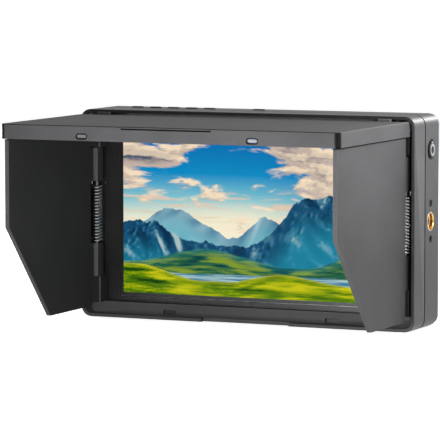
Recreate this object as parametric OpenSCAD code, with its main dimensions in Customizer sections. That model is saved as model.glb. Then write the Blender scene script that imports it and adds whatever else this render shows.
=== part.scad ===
// Field monitor with a folding sun hood, in millimetres.
// Origin: mouth of the bottom tripod thread. +X right, +Y to the back, +Z up.
// Depths are counted from the front rim plane and turned into Y by yd().

/* [Screen] */
// Width of the picture area
active_w = 121.8; // [110:0.1:150]
// Height of the picture area
active_h = 68.5; // [60:0.1:90]
// Black border of the glass beside the picture
border_x = 9.6; // [8:0.1:14]
// Black border of the glass above and below the picture
border_z = 4.35; // [3:0.05:8]
// Thickness of the cover glass
glass_t = 1.1; // [0.7:0.1:2]
// Thickness of the display panel
panel_t = 1.7; // [1.2:0.1:3]
// Thickness of the backlight unit
backlight_t = 1.6; // [1:0.1:4]
// How far the panel reaches past the picture on each side
panel_margin = 2.2; // [1:0.1:2.6]

/* [Casing] */
// Frame beside the glass opening
rail_x = 6.3; // [6:0.1:9]
// Frame above and below the glass opening
rail_z = 6.2; // [6:0.1:9]
// Radius of the casing's corners, seen from the front
corner_r = 4.5; // [3.5:0.5:10]
// Wall of the rim around the screen recess
rim_wall = 1.5; // [1:0.1:2.2]
// Depth of the rear housing
housing_depth = 17.8; // [15.5:0.1:24]
// Wall of the rear housing
wall = 2; // [1.4:0.1:2.4]
// Rounding of the rear edges
edge_r = 2.5; // [1:0.1:4]
// Thickness of the seam gasket
seam_t = 1.2; // [0.6:0.1:2]
// How far the gasket stays inside the casing's outline
seam_inset = 0.5; // [0.2:0.1:1]
// Width of the gasket band
seam_w = 2.5; // [1.5:0.1:2.6]
// Half width of the finger notch in the bottom rim
notch_half = 20.2; // [10:0.1:30]
// Depth of the finger notch
notch_depth = 3; // [1:0.1:3.4]

/* [Hood] */
// Reach of the lid in front of the rim
hood_reach = 78.9; // [60:0.1:79.5]
// How far the lid stays inside the casing's outline
lid_inset = 2; // [1.5:0.1:3]
// Thickness of the lid's plate
lid_t = 1.3; // [1:0.1:2]
// Thickness of the lid's lips
lip_t = 1.2; // [0.9:0.1:1.6]
// Height of the lid's lips
lip_h = 6.2; // [5:0.1:7]
// Rounding of the lid's front corners, seen from above
lid_corner_r = 2.2; // [1.3:0.1:4]
// Gap between the flaps and the inside of the lid's front lip
flap_play = 0.4; // [0.3:0.1:1]
// Thickness of the flaps
flap_t = 1.8; // [1.2:0.1:2.4]
// Height of the flaps' bottom edge over the base
flap_bottom = 4.6; // [3:0.1:8]
// Height at which the flaps' front edge turns into the slope
flap_knee_z = 45; // [30:1:60]
// Distance from the rim at which the slope meets the bottom edge
flap_knee_d = 40; // [20:1:60]
// Width of one lid hinge tab
tab_w = 6; // [4:0.5:8]
// Distance of the lid hinge tabs from the middle
tab_x = 63.5; // [50:0.5:63.5]
// Half width of the notch in the lid's front edge
lid_notch_half = 20; // [10:0.5:30]
// Depth of the notch in the lid's front edge
lid_notch_depth = 0.8; // [0.4:0.1:0.9]
// Height of the slit under that notch
lid_slit = 0.5; // [0.3:0.1:0.7]

/* [Hinges] */
// Distance of the flap hinges from the casing's side
hinge_inset = 5.8; // [5.7:0.1:7]
// Depth of the left flap's hinge
left_hinge_d = 4.2; // [4:0.1:5]
// Radius of the flap hinge barrels
barrel_r = 2.6; // [2.4:0.05:2.7]
// Radius of the flap hinge pins
pin_r = 1; // [0.8:0.05:1.1]
// Radius of the lid hinge barrels
lid_barrel_r = 1.9; // [1.6:0.1:2.1]
// Radius of the lid hinge pins
lid_pin_r = 0.9; // [0.6:0.05:1]
// Depth of the lid's hinge
lid_hinge_d = 3.9; // [3.6:0.1:4.2]
// Distance of the lid's hinge below the casing's top
lid_hinge_drop = 5.6; // [5.4:0.1:6]
// Height of the lower pin block's top
block_top = 17.3; // [14:0.1:22]
// Distance of the upper pin block's underside below the casing's top
block_drop = 16.6; // [14:0.1:22]
// Wire of the flap springs
wire = 0.85; // [0.6:0.05:0.9]
// Middle radius of the flap springs
spring_r = 2.1; // [2:0.05:2.2]
// Curls of one flap spring
curls = 18; // [8:1:18]
// Rise of one curl
curl_pitch = 1.36; // [1.32:0.01:1.4]
// Length of one hinge barrel
barrel_len = 14.2; // [10:0.1:14.4]

/* [Magnets] */
// Distance of the magnets from the middle
magnet_x = 37.7; // [25:0.1:45]
// Width of a lid window
window_w = 5.2; // [4:0.1:8]
// Height of a lid window
window_h = 2.4; // [2:0.1:2.6]
// Rim between a lid window and its magnet's pocket
window_rim = 0.35; // [0.2:0.05:0.4]
// Distance of the window's middle below the lid's top
window_drop = 4.3; // [3.6:0.1:4.4]
// Width of a slot in the lower bar
slot_w = 6.3; // [5:0.1:9]
// Height of a slot in the lower bar
slot_h = 2.1; // [1.5:0.1:3]
// Depth of a slot in the lower bar
slot_depth = 2.5; // [1.5:0.1:3]

/* [Vents] */
// Number of vent slots on each side of the back
vent_count = 7; // [1:1:7]
// Distance between vent slots
vent_pitch = 3.4; // [2.6:0.1:3.6]
// Height of a vent slot
vent_slot = 1.4; // [0.8:0.1:1.8]
// Distance of the vents' inner ends from the middle
vent_x0 = 32; // [30:1:40]
// Distance of the vents' outer ends from the middle
vent_x1 = 62; // [45:1:62]

/* [Mounts and power button] */
// Radius of the tripod thread
thread_r = 3.175; // [2.5:0.025:3.5]
// Outer radius of a tripod insert
insert_r = 4; // [3.8:0.1:4.2]
// Length of a tripod insert
insert_len = 7; // [5:0.1:7.4]
// Distance of the tripod threads behind the gasket
thread_in = 6.3; // [6:0.1:8]
// Height of the side threads over the casing's middle
side_thread_up = 0.1; // [0:0.1:3]
// Distance of the locating holes from the thread
locate_pitch = 7.55; // [7:0.05:9]
// Radius of the locating holes
locate_r = 1.6; // [1:0.1:1.8]
// Depth of the locating holes
locate_depth = 4; // [2:0.1:5]
// Wall left around the mounts inside the casing
boss_wall = 2; // [1.5:0.1:2.2]
// Height of the power button over the casing's middle
power_up = 30.2; // [20:0.1:31]
// Outer radius of the power button's seal ring
ring_r = 4.3; // [4:0.1:4.4]
// Radius of the power button
power_r = 3.4; // [2.8:0.05:3.6]
// How far the power button stands out
power_proud = 0.6; // [0.5:0.1:1]
// Travel of the power button
power_travel = 0.5; // [0.3:0.1:0.6]

/* [Keys] */
// Distance between keys in the row
key_pitch = 8.55; // [8.3:0.05:9]
// Place of the first key
key_first_x = -59.4; // [-59.4:0.1:-58]
// Place of the single key
solo_key_x = -2; // [-4:0.5:4]
// Length of a key
key_l = 5.6; // [4:0.1:6]
// Width of a key
key_w = 2.6; // [2:0.1:3.4]
// How far a key stands out
key_proud = 0.5; // [0.4:0.05:0.8]
// Travel of a key
key_travel = 0.4; // [0.2:0.05:0.4]

/* [Inside] */
// Thickness of the display tray's sheet
tray_t = 1; // [0.6:0.1:1.4]
// Height of the board's standoffs
standoff_h = 2.4; // [2:0.1:3]
// Thickness of the boards
board_t = 1.6; // [1:0.1:1.6]
// Width of the main chip
chip_w = 16; // [10:1:20]
// Height of the main chip
chip_h = 1.2; // [0.8:0.1:1.4]
// Width and height of the heat spreader
heatsink_w = 28; // [20:1:36]
// Gap between the heat spreader and the battery recess
heatsink_gap = 0.9; // [0.5:0.1:1.2]
// Width of the battery plate
plate_w = 43.4; // [40:0.1:50]
// Height of the battery plate
plate_h = 61.4; // [58:0.1:66]
// Thickness of the battery plate
plate_t = 1.2; // [1:0.1:1.6]
// Depth of the recess for the battery plate
plate_recess = 3; // [2.6:0.1:3.4]
// Distance of the battery release from the plate's side
release_in = 8.7; // [7:0.1:12]
// Travel of the battery release
release_travel = 2.5; // [1.5:0.1:3]
// Radius of the screws
screw_r = 1; // [0.8:0.05:1.1]
// Radius of the screw heads
head_r = 1.8; // [1.5:0.1:2]
// Height of the screw heads
head_h = 1.2; // [1:0.1:1.4]

/* [Clearances] */
// Gap between seated pieces
fit = 0.2; // [0.1:0.05:0.3]
// Gap between moving pieces
gap = 0.3; // [0.25:0.05:0.4]
// Radial clearance of a running pin or button
run = 0.05; // [0.02:0.01:0.09]

/* [Hidden] */
$fn = 48;
corner_steps = 8;
eps = 0.1;

// Glass, opening and casing outline
glass_w = active_w + 2 * border_x;
glass_h = active_h + 2 * border_z;
open_w = glass_w + 2 * fit;
open_h = glass_h + 2 * fit;
body_w = open_w + 2 * rail_x;
body_h = open_h + 2 * rail_z;
half_w = body_w / 2;
mid_z = body_h / 2;
in_w = body_w - 2 * rim_wall;
in_h = body_h - 2 * rim_wall;
open_z0 = rail_z;
open_z1 = body_h - rail_z;

// Hinge axes
hinge_x = half_w - hinge_inset;
leaf_off = 0.5;
right_hinge_d = left_hinge_d + flap_t + gap;
lid_hinge_z = body_h - lid_hinge_drop;
lug_t = 2.2;
block_out = 2.2;
lug_in = tab_x - tab_w / 2 - gap;
lug_out = tab_x + tab_w / 2 + gap;

// Depths behind the front rim
ledge_gap = 0.7;
ledge_d = right_hinge_d - leaf_off + ledge_gap;
glass_d = right_hinge_d + barrel_r + gap;
panel_d = glass_d + glass_t;
frame_d = panel_d + panel_t;
shell_d = frame_d + seam_t;
body_d = shell_d + housing_depth;
inner_d = body_d - wall;
thread_back = shell_d + thread_in;
tray_d = frame_d + backlight_t;
standoff_d = tray_d + tray_t;
board_d = standoff_d + standoff_h;
parts_d = board_d + board_t;
recess_d = body_d - plate_recess;
chip_d = parts_d + chip_h;
heatsink_d = recess_d - wall - heatsink_gap;

// Panel and tray
panel_w = active_w + 2 * panel_margin;
panel_h = active_h + 2 * panel_margin;
flange_w = panel_w + 2 * gap;
flange_h = panel_h + 2 * gap;
tray_side = 4;
tray_w = panel_w + 2 * tray_side;
tray_h = flange_h + 2 * (tray_t - fit);

// Hood
flap_x = hinge_x + leaf_off;
flap_rear_d = -1.2;
flap_front_d = -(hood_reach - lip_t - flap_play);
lip_rear_d = -0.4;
lip_slant = 1.2;
plate_rear_d = -2.6;
lid_top = body_h - lid_inset;
lid_half = half_w - lid_inset;
lip_bottom = lid_top - lip_h;
flap_top = min(lip_bottom, lid_hinge_z - lid_barrel_r) - gap;
block_low = body_h - block_drop;
pin_low = open_z0 + 2;
pin_high = open_z1 - 3;
barrel_1 = block_top + gap;
barrel_2 = block_low - gap - barrel_len;

// Keys, ports and inside pieces
key_d = thread_back + 1.5;
inner_top = body_h - wall;
key_count = 5;
flange_t = 0.7;
key_play = 0.1;
mat_top = inner_top - flange_t - key_travel - 2 * key_play;
mat_t = 1.2;
key_board_t = 1.2;
shelf_top = mat_top - mat_t - key_board_t;
key_xs = concat([for (i = [0:key_count - 1]) key_first_x + i * key_pitch], [solo_key_x]);
key_plan_x0 = key_first_x - key_l / 2 - 0.4;
key_plan_x1 = solo_key_x + key_l / 2 + 3;
key_plan_d = 3.6;
ribbon_t = 0.3;
ribbon_w = 20;
ribbon_up = 4;
ribbon_tray_l = 10;
ribbon_board_l = 14;
heatsink_base = 1.2;
fin_pitch = 3.2;
fin_t = 1.2;
port_out = 0.8;
port_len = 12;
port_w = 15;
port_t = 5.6;
port_shell = 0.5;
port_space = 1.4;
dc_r = 3.2;
phone_r = 2.5;
side_thread_z = mid_z + side_thread_up;
side_boss_half = locate_pitch + locate_r + boss_wall;
dc_z = side_thread_z + side_boss_half + dc_r + gap + fit;
video_in_z = dc_z + dc_r + port_w / 2 + port_space;
phone_z = side_thread_z - side_boss_half - phone_r - gap - fit;
video_out_z = phone_z - phone_r - port_w / 2 - port_space;
round_port_d = parts_d + dc_r;
service_x = 45;
service_w = 8;
service_t = 3;
service_len = 6;
board_left = -(half_w - wall - 7);
board_right = 60;
board_z0 = 12;
board_z1 = body_h - 12;
board_hole_x = 56;
board_hole_z = 6;
standoff_r = 2.2;
screw_x = half_w - 11;
screw_z = open_z1 + (body_h - rim_wall - open_z1) / 2 - 0.55;
screw_tip_d = ledge_d + 1;
head_sink = 0.6;
recess_w = 0.4;
recess_deep = 0.5;
recess_reach = 0.7;
boss_r = 2.6;
vent_z = mid_z + 8;
boss_front = standoff_d + 0.4;
boss_back = thread_back + insert_r + boss_wall;
boss_len = insert_len + 1 - wall;
power_z = mid_z + power_up;
power_d = thread_back + 0.5;
plate_z0 = mid_z - plate_h / 2;
release_x = plate_w / 2 - release_in;
release_w = 7.4;
release_h = 5;
release_down = 14.5;
release_z = plate_z0 + plate_h - release_down;
hook_zs = [plate_z0 + 12.7, plate_z0 + plate_h - 18.7];

function yd(d) = d - thread_back;

// Points of an arc, and outlines with round corners or round ends
function arc(cx, cy, r, a0, a1, n) =
    [for (i = [0:n]) let (a = a0 + (a1 - a0) * i / n) [cx + r * cos(a), cy + r * sin(a)]];
function round_rect(w, h, r) = concat(
    arc(w / 2 - r, h / 2 - r, r, 0, 90, corner_steps),
    arc(-w / 2 + r, h / 2 - r, r, 90, 180, corner_steps),
    arc(-w / 2 + r, -h / 2 + r, r, 180, 270, corner_steps),
    arc(w / 2 - r, -h / 2 + r, r, 270, 360, corner_steps));
function slot_shape(w, h) = concat(
    arc(w / 2 - h / 2, 0, h / 2, -90, 90, corner_steps),
    arc(-w / 2 + h / 2, 0, h / 2, 90, 270, corner_steps));

// A box between two depths and two heights
module slab(x0, x1, d0, d1, z0, z1) {
    translate([x0, yd(d0), z0]) cube([x1 - x0, d1 - d0, z1 - z0]);
}

// The same box on the right and, mirrored, on the left
module slabs(x0, x1, d0, d1, z0, z1) {
    slab(x0, x1, d0, d1, z0, z1);
    slab(-x1, -x0, d0, d1, z0, z1);
}

// An outline seen from the front, extruded between two depths
module front_prism(points, d0, d1, x = 0, z = mid_z) {
    translate([x, yd(d1), z]) rotate([90, 0, 0]) linear_extrude(d1 - d0) polygon(points);
}

// An outline in depth and height, extruded between two places in X
module side_prism(points, x0, x1) {
    translate([x0, 0, 0]) rotate([90, 0, 90]) linear_extrude(x1 - x0)
        polygon([for (p = points) [yd(p[0]), p[1]]]);
}

// Cylinders along the three axes
module along_x(r, x0, x1, d, z) {
    translate([x0, yd(d), z]) rotate([0, 90, 0]) cylinder(r = r, h = x1 - x0);
}
module along_y(r, x, d0, d1, z) {
    translate([x, yd(d1), z]) rotate([90, 0, 0]) cylinder(r = r, h = d1 - d0);
}
module along_z(r, x, d, z0, z1) {
    translate([x, yd(d), z0]) cylinder(r = r, h = z1 - z0);
}

// Screw places
module at_housing_screws() {
    for (x = [-screw_x, screw_x], z = [screw_z, body_h - screw_z]) translate([x, 0, z]) children();
}
module at_board_screws() {
    for (x = [-board_hole_x, board_hole_x], z = [board_z0 + board_hole_z, board_z1 - board_hole_z])
        translate([x, 0, z]) children();
}
module at_plate_screws() {
    for (x = [-1, 1], z = [-1, 1])
        translate([x * (plate_w / 2 - 3), 0, mid_z + z * (plate_h / 2 - 3)]) children();
}
module screw(head_d, tip_d) {
    difference() {
        union() {
            along_y(head_r, 0, head_d, head_d + head_h, 0);
            along_y(screw_r, 0, tip_d, head_d + eps, 0);
        }
        for (turn = [0, 90]) rotate([0, turn, 0]) slab(-head_r * recess_reach, head_r * recess_reach,
            head_d + head_h - recess_deep, head_d + head_h + 1, -recess_w / 2, recess_w / 2);
    }
}

// Blocks that hold the ends of one flap's hinge pin
module pin_blocks(side, pin_d) {
    x0 = side > 0 ? hinge_x - barrel_r : -hinge_x - block_out;
    x1 = side > 0 ? hinge_x + block_out : -hinge_x + barrel_r;
    slab(x0, x1, pin_d - barrel_r, glass_d - gap, open_z0, block_top);
    slab(x0, x1, pin_d - barrel_r, glass_d - gap, block_low, open_z1 - 1);
}

module front_frame() {
    color([0.2, 0.2, 0.21]) difference() {
        union() {
            difference() {
                front_prism(round_rect(body_w, body_h, corner_r), 0, frame_d);
                front_prism(round_rect(in_w, in_h, corner_r - rim_wall), -1, ledge_d);
                slab(-open_w / 2, open_w / 2, ledge_d - 1, panel_d, open_z0, open_z1);
                slab(-flange_w / 2, flange_w / 2, panel_d - 1, frame_d + 1,
                    mid_z - flange_h / 2, mid_z + flange_h / 2);
                slabs(open_w / 2 - eps, half_w - rim_wall, ledge_d - 1, glass_d, block_top, block_low);
            }
            pin_blocks(-1, left_hinge_d);
            pin_blocks(1, right_hinge_d);
            for (x = [lug_in - lug_t, lug_out]) slabs(x, x + lug_t, lid_hinge_d - lid_barrel_r,
                ledge_d + eps, lid_hinge_z - lid_barrel_r, body_h - rim_wall + eps);
        }
        for (s = [[-1, left_hinge_d], [1, right_hinge_d]])
            along_z(pin_r + run, s[0] * hinge_x, s[1], pin_low, pin_high);
        for (s = [-1, 1]) along_x(lid_pin_r + run, s * tab_x - tab_w, s * tab_x + tab_w,
            lid_hinge_d, lid_hinge_z);
        slabs(magnet_x - slot_w / 2, magnet_x + slot_w / 2,
            ledge_d - 1, ledge_d + slot_depth, rim_wall, rim_wall + slot_h);
        slab(-notch_half, notch_half, -1, notch_depth, -1, rim_wall + 1);
        at_housing_screws() along_y(screw_r + run, 0, screw_tip_d, frame_d + 1, 0);
    }
}

module seam_gasket() {
    color([0.05, 0.05, 0.05]) difference() {
        front_prism(round_rect(body_w - 2 * seam_inset, body_h - 2 * seam_inset, corner_r - seam_inset),
            frame_d, shell_d);
        front_prism(round_rect(body_w - 2 * (seam_inset + seam_w), body_h - 2 * (seam_inset + seam_w),
            corner_r - seam_inset - seam_w), frame_d - 1, shell_d + 1);
    }
}

// One corner of the rear shell, rounded at its back
module shell_corner() {
    rotate([-90, 0, 0]) rotate_extrude($fn = 32) polygon(concat(
        [[0, 0], [corner_r, 0]],
        arc(corner_r - edge_r, housing_depth - edge_r, edge_r, 0, 90, 5),
        [[0, housing_depth]]));
}

module side_boss(s) {
    x0 = s > 0 ? half_w - wall - boss_len : -half_w + wall - eps;
    slab(x0, x0 + boss_len + eps, boss_front, boss_back,
        side_thread_z - side_boss_half, side_thread_z + side_boss_half);
}

module rear_housing() {
    color([0.2, 0.2, 0.21]) difference() {
        union() {
            difference() {
                hull() for (x = [-1, 1], z = [corner_r, body_h - corner_r])
                    translate([x * (half_w - corner_r), yd(shell_d), z]) shell_corner();
                difference() {
                    front_prism(round_rect(body_w - 2 * wall, body_h - 2 * wall, corner_r - wall),
                        shell_d - 1, inner_d);
                    slab(-plate_w / 2 - fit - wall, plate_w / 2 + fit + wall, recess_d - wall, body_d,
                        plate_z0 - fit - wall, plate_z0 + plate_h + fit + wall);
                }
                slab(-plate_w / 2 - fit, plate_w / 2 + fit, recess_d, body_d + 1,
                    plate_z0 - fit, plate_z0 + plate_h + fit);
            }
            side_boss(1);
            side_boss(-1);
            slab(-insert_r - boss_wall, insert_r + boss_wall, boss_front, boss_back,
                wall - eps, wall + boss_len);
            slab(key_plan_x0, key_plan_x1, key_d + 1, inner_d + eps, shelf_top - 1.6, shelf_top);
            intersection() {
                at_housing_screws() along_y(boss_r, 0, shell_d, inner_d + eps, 0);
                front_prism(round_rect(body_w - wall, body_h - wall, corner_r - wall / 2), shell_d, body_d);
            }
        }
        for (s = [-1, 1]) {
            along_x(insert_r + run, s > 0 ? half_w - insert_len : -half_w - 1,
                s > 0 ? half_w + 1 : -half_w + insert_len, thread_back, side_thread_z);
            for (t = [-1, 1]) along_x(locate_r, s > 0 ? half_w - locate_depth : -half_w - 1,
                s > 0 ? half_w + 1 : -half_w + locate_depth, thread_back,
                side_thread_z + t * locate_pitch);
        }
        along_z(insert_r + run, 0, thread_back, -1, insert_len);
        along_x(ring_r + run, half_w - wall / 2, half_w + 1, power_d, power_z);
        along_x(power_r + 2 * run, half_w - wall - 1, half_w + 1, power_d, power_z);
        for (x = key_xs) translate([x, yd(key_d), inner_top - 1]) linear_extrude(wall + 2)
            polygon(slot_shape(key_l + 2 * fit, key_w + 2 * fit));
        for (z = [video_in_z, video_out_z]) slab(-half_w - 1, -half_w + wall + 1,
            parts_d - gap, parts_d + port_t + gap, z - port_w / 2 - gap, z + port_w / 2 + gap);
        along_x(dc_r + gap, -half_w - 1, -half_w + wall + 1, round_port_d, dc_z);
        along_x(phone_r + gap, -half_w - 1, -half_w + wall + 1, round_port_d, phone_z);
        slab(service_x - service_w / 2 - gap, service_x + service_w / 2 + gap,
            parts_d - gap, parts_d + service_t + gap, -1, wall + 1);
        at_housing_screws() {
            along_y(screw_r + run, 0, shell_d - 1, body_d, 0);
            along_y(head_r + fit, 0, body_d - head_h - head_sink, body_d + 1, 0);
        }
        at_plate_screws() along_y(screw_r + run, 0, recess_d - wall - 1, recess_d + 1, 0);
        for (i = [0:vent_count - 1]) slabs(vent_x0, vent_x1, inner_d - 1, body_d + 1,
            vent_z + i * vent_pitch, vent_z + i * vent_pitch + vent_slot);
    }
}

module cover_glass() {
    color([0.05, 0.06, 0.08, 0.5])
        slab(-glass_w / 2, glass_w / 2, glass_d, panel_d, open_z0 + fit, open_z1 - fit);
}

module display_panel() {
    color([0.2, 0.4, 0.7]) slab(-panel_w / 2, panel_w / 2, panel_d, frame_d,
        mid_z - panel_h / 2, mid_z + panel_h / 2);
}

module backlight_unit() {
    color([0.9, 0.9, 0.88]) slab(-panel_w / 2, panel_w / 2, frame_d, tray_d,
        mid_z - panel_h / 2, mid_z + panel_h / 2);
}

module display_tray() {
    color([0.7, 0.7, 0.72]) difference() {
        union() {
            difference() {
                slab(-tray_w / 2, tray_w / 2, frame_d, standoff_d, mid_z - tray_h / 2, mid_z + tray_h / 2);
                slab(-panel_w / 2 - fit, panel_w / 2 + fit, frame_d - 1, tray_d,
                    mid_z - panel_h / 2 - fit, mid_z + panel_h / 2 + fit);
            }
            at_board_screws() along_y(standoff_r, 0, tray_d, board_d, 0);
        }
        at_board_screws() along_y(screw_r + run, 0, tray_d + 0.6, board_d + 1, 0);
    }
}

module display_ribbon() {
    low = board_z0 + ribbon_up;
    fold = low + ribbon_t;
    color([0.75, 0.5, 0.15]) side_prism([
        [standoff_d, low], [standoff_d, low + ribbon_tray_l], [standoff_d + ribbon_t, low + ribbon_tray_l],
        [standoff_d + ribbon_t, fold], [board_d - ribbon_t, fold], [board_d - ribbon_t, low + ribbon_board_l],
        [board_d, low + ribbon_board_l], [board_d, low]], -ribbon_w / 2, ribbon_w / 2);
}

module main_board() {
    color([0.05, 0.3, 0.15]) difference() {
        union() {
            slab(board_left, board_right, board_d, parts_d, board_z0, board_z1);
            slab(-chip_w / 2, chip_w / 2, parts_d - eps, chip_d, mid_z - chip_w / 2, mid_z + chip_w / 2);
            for (i = [0:3]) slab(18 + i * 9, 24 + i * 9, parts_d - eps, parts_d + 1, mid_z - 6, mid_z + 6);
        }
        at_board_screws() along_y(screw_r + gap, 0, board_d - 1, parts_d + 1, 0);
    }
}

module heatsink() {
    half = heatsink_w / 2;
    fins_d = chip_d + heatsink_base;
    color([0.3, 0.3, 0.32]) difference() {
        slab(-half, half, chip_d, heatsink_d, mid_z - half, mid_z + half);
        for (x = [-half + fin_t:fin_pitch:half - fin_pitch])
            slab(x, x + fin_pitch - fin_t, fins_d, heatsink_d + 1, mid_z - half - 1, mid_z + half + 1);
    }
}

module video_socket(z) {
    x0 = -half_w + port_out;
    color([0.75, 0.75, 0.77]) {
        difference() {
            slab(x0, x0 + port_len, parts_d, parts_d + port_t, z - port_w / 2, z + port_w / 2);
            slab(x0 - 1, x0 + port_len - 2, parts_d + port_shell, parts_d + port_t - port_shell,
                z - port_w / 2 + port_shell, z + port_w / 2 - port_shell);
        }
        slab(x0 + 1.5, x0 + port_len - 1.9, parts_d + port_t / 2 - 0.6, parts_d + port_t / 2 + 0.6,
            z - port_w / 2 + 2, z + port_w / 2 - 2);
    }
}

module dc_jack() {
    x0 = -half_w + port_out;
    color([0.08, 0.08, 0.08]) {
        difference() {
            along_x(dc_r, x0, x0 + 11, round_port_d, dc_z);
            along_x(dc_r - 0.5, x0 - 1, x0 + 9, round_port_d, dc_z);
        }
        along_x(1, x0 + 1, x0 + 9.5, round_port_d, dc_z);
    }
}

module headphone_jack() {
    x0 = -half_w + port_out;
    color([0.08, 0.08, 0.08]) difference() {
        along_x(phone_r, x0, x0 + 11, round_port_d, phone_z);
        along_x(1.8, x0 - 1, x0 + 10, round_port_d, phone_z);
    }
}

module service_port() {
    color([0.75, 0.75, 0.77]) difference() {
        slab(service_x - service_w / 2, service_x + service_w / 2, parts_d, parts_d + service_t,
            port_out, port_out + service_len);
        slab(service_x - service_w / 2 + port_shell, service_x + service_w / 2 - port_shell,
            parts_d + port_shell, parts_d + service_t - port_shell, port_out - 1,
            port_out + service_len - 1.5);
    }
}

module key_board() {
    color([0.05, 0.3, 0.15]) slab(key_plan_x0, key_plan_x1, key_d - key_plan_d, key_d + key_plan_d,
        shelf_top, shelf_top + key_board_t);
}

module key_mat() {
    color([0.25, 0.25, 0.25]) slab(key_plan_x0, key_plan_x1, key_d - key_plan_d + 0.6,
        key_d + key_plan_d - 0.6, mat_top - mat_t, mat_top);
}

module top_key(i) {
    x = key_xs[i];
    color([0.12, 0.12, 0.13]) union() {
        translate([x, yd(key_d), inner_top - key_play - flange_t / 2])
            linear_extrude(wall + key_proud + key_play + flange_t / 2) polygon(slot_shape(key_l, key_w));
        slab(x - key_l / 2 - 0.5, x + key_l / 2 + 0.5, key_d - key_w / 2 - 0.6, key_d + key_w / 2 + 0.6,
            inner_top - key_play - flange_t, inner_top - key_play);
    }
}

module power_button() {
    color([0.1, 0.1, 0.1]) {
        along_x(power_r, half_w - wall + gap, half_w + power_proud, power_d, power_z);
        along_x(1.2, half_w - wall - 2.2, half_w - wall + gap + eps, power_d, power_z);
    }
}

module power_ring() {
    color([0.85, 0.85, 0.86]) difference() {
        along_x(ring_r, half_w - wall / 2, half_w - gap, power_d, power_z);
        along_x(power_r + 2 * run, half_w - wall, half_w + 1, power_d, power_z);
    }
}

module power_switch() {
    face = half_w - wall - power_travel + gap - fit;
    color([0.15, 0.15, 0.15]) difference() {
        along_x(ring_r, face - 8, face, power_d, power_z);
        along_x(1.2 + run, face - 4, face + 1, power_d, power_z);
    }
}

module insert_x(s) {
    x0 = s > 0 ? half_w - insert_len : -half_w;
    color([0.85, 0.65, 0.25]) difference() {
        along_x(insert_r, x0, x0 + insert_len, thread_back, side_thread_z);
        along_x(thread_r, x0 - 1, x0 + insert_len + 1, thread_back, side_thread_z);
    }
}

module insert_bottom() {
    color([0.85, 0.65, 0.25]) difference() {
        along_z(insert_r, 0, thread_back, 0, insert_len);
        along_z(thread_r, 0, thread_back, -1, insert_len + 1);
    }
}

module battery_plate() {
    hook_w = 4;
    color([0.1, 0.1, 0.1]) difference() {
        union() {
            slab(-plate_w / 2, plate_w / 2, recess_d, recess_d + plate_t, plate_z0, plate_z0 + plate_h);
            for (z = hook_zs) slabs(plate_w / 2 - 4 - hook_w / 2, plate_w / 2 - 4 + hook_w / 2,
                recess_d, body_d - 0.2, z, z + 3);
        }
        at_plate_screws() along_y(screw_r + gap, 0, recess_d - 1, body_d, 0);
        slab(release_x - release_w / 2 - gap, release_x + release_w / 2 + gap, recess_d - 1, body_d,
            release_z - release_travel - gap, release_z + release_h + gap);
        slab(release_x - release_w / 2 - 1.3, release_x + release_w / 2 + 1.3, recess_d - 1,
            recess_d + 0.7, release_z - release_travel - 1.3, release_z + release_h + 1.3);
    }
}

module battery_contacts() {
    color([0.85, 0.65, 0.25]) for (x = [-6, 0, 6])
        slab(x - 0.5, x + 0.5, recess_d + plate_t, body_d - 0.4, plate_z0 + 5, plate_z0 + 13);
}

module battery_release() {
    color([0.25, 0.25, 0.25]) union() {
        slab(release_x - release_w / 2, release_x + release_w / 2, recess_d + 0.2, body_d - 0.4,
            release_z, release_z + release_h);
        slab(release_x - release_w / 2 - 1, release_x + release_w / 2 + 1, recess_d + 0.1,
            recess_d + 0.4, release_z - 1, release_z + release_h + 1);
    }
}

// The lid seen from above: square at the back, rounded at the front corners
function lid_plan(half, front_d, r) = concat(
    [[half, yd(lip_rear_d)], [-half, yd(lip_rear_d)]],
    arc(-half + r, yd(front_d) + r, r, 180, 270, corner_steps),
    arc(half - r, yd(front_d) + r, r, 270, 360, corner_steps));

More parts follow.
